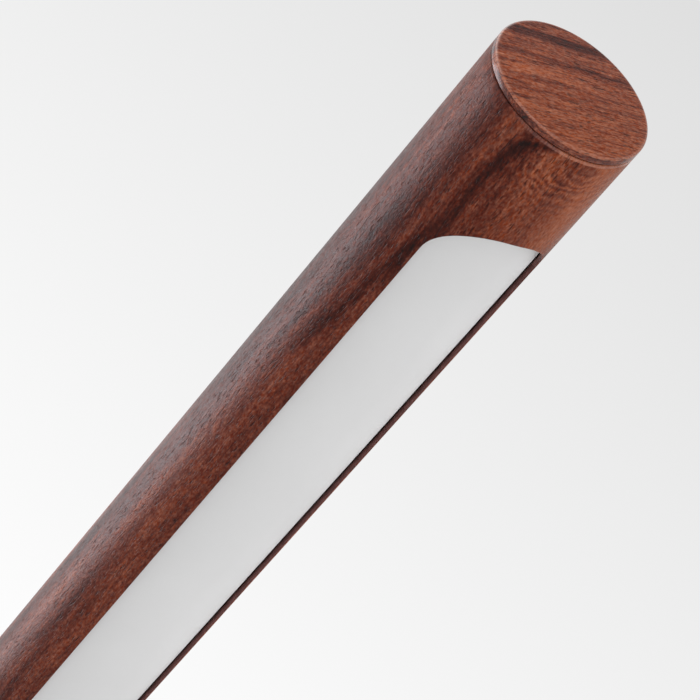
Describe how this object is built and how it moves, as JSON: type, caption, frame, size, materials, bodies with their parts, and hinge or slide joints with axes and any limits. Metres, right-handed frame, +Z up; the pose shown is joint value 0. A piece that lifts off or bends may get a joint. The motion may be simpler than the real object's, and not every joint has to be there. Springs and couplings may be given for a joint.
{
  "type": "led table lamp",
  "caption": "Table lamp: a slotted round light bar in rosewood grain swings on a side pivot of an upright post that turns on a weighted round base with a push button.",
  "frame": {"origin": "centre of the grip pad's underside, on the swivel axis, where the lamp stands on the table", "axes": "+Z up along the post, +X the way the light bar reaches at rest, +Y from the bar towards the post's far side"},
  "size_m": [0.4078, 0.17, 0.4977],
  "materials": {
    "rosewood_grain": "satin lacquered rosewood grain along the tube",
    "rosewood_disc": "satin lacquered rosewood grain across the disc",
    "milk_diffuser": "milky matt acrylic",
    "bare_aluminium": "drawn, bare",
    "led_board": "white solder mask",
    "led_chip": "phosphor under clear resin",
    "lead_jacket": "smooth jacket",
    "hub_metal": "satin black",
    "steel_hardware": "zinc plated",
    "friction_fibre": "pressed fibre",
    "nylon": "natural nylon",
    "base_coat": "fine black powder coat",
    "cast_weight": "rough cast",
    "steel_plate": "zinc plated sheet",
    "grip_rubber": "matt rubber",
    "socket_plastic": "moulded black",
    "circuit_board": "green solder mask",
    "button_aluminium": "spun satin face"
  },
  "bodies": {
    "base": {"base_shell": "base_coat", "base_weight": "cast_weight", "bottom_plate": "steel_plate", "plate_screws": "steel_hardware", "grip_pad": "grip_rubber", "swivel_bush": "nylon", "swivel_stop": "steel_hardware", "dc_socket": "socket_plastic", "socket_pin": "steel_hardware", "socket_nut": "steel_hardware", "control_board": "circuit_board", "board_screws": "steel_hardware", "push_switch": "socket_plastic", "button_bezel": "hub_metal", "supply_lead": "lead_jacket", "led_lead": "lead_jacket", "button_spring": "steel_hardware"},
    "button": {"power_button": "button_aluminium"},
    "post": {"post_tube": "rosewood_grain", "post_cap": "rosewood_disc", "post_block": "bare_aluminium", "post_boss": "hub_metal", "friction_washer": "friction_fibre", "tilt_peg": "steel_hardware", "nut_cap": "hub_metal", "post_foot": "hub_metal", "foot_screws": "steel_hardware", "thrust_washer": "nylon", "swivel_spring": "steel_hardware", "swivel_nut": "steel_hardware", "post_lead": "lead_jacket"},
    "light_bar": {"bar_tube": "rosewood_grain", "tip_cap": "rosewood_disc", "tail_cap": "rosewood_disc", "diffuser": "milk_diffuser", "led_tray": "bare_aluminium", "led_board": "led_board", "led_chips": "led_chip", "bar_lead": "lead_jacket", "bar_block": "bare_aluminium", "bar_boss": "hub_metal", "pivot_bolt": "steel_hardware", "pivot_washer": "steel_hardware", "pivot_spring": "steel_hardware", "pivot_nut": "steel_hardware", "bolt_cap": "hub_metal"}
  },
  "joints": [
    {"name": "post_swivel", "type": "hinge", "parent": "base", "child": "post", "pos_m": [0, 0, 0.026], "axis": [0, 0, 1], "range_deg": [-165, 165]},
    {"name": "bar_tilt", "type": "hinge", "parent": "post", "child": "light_bar", "pos_m": [0, 0, 0.362], "axis": [0, -1, 0], "range_deg": [-96.5, 68.5]},
    {"name": "button_press", "type": "slide", "parent": "base", "child": "button", "axis": [0, 0, -1], "range_m": [0, 0.0015], "stiffness_N_per_m": 800, "springref_m": -0.002, "deforming": ["button_spring"]}
  ]
}
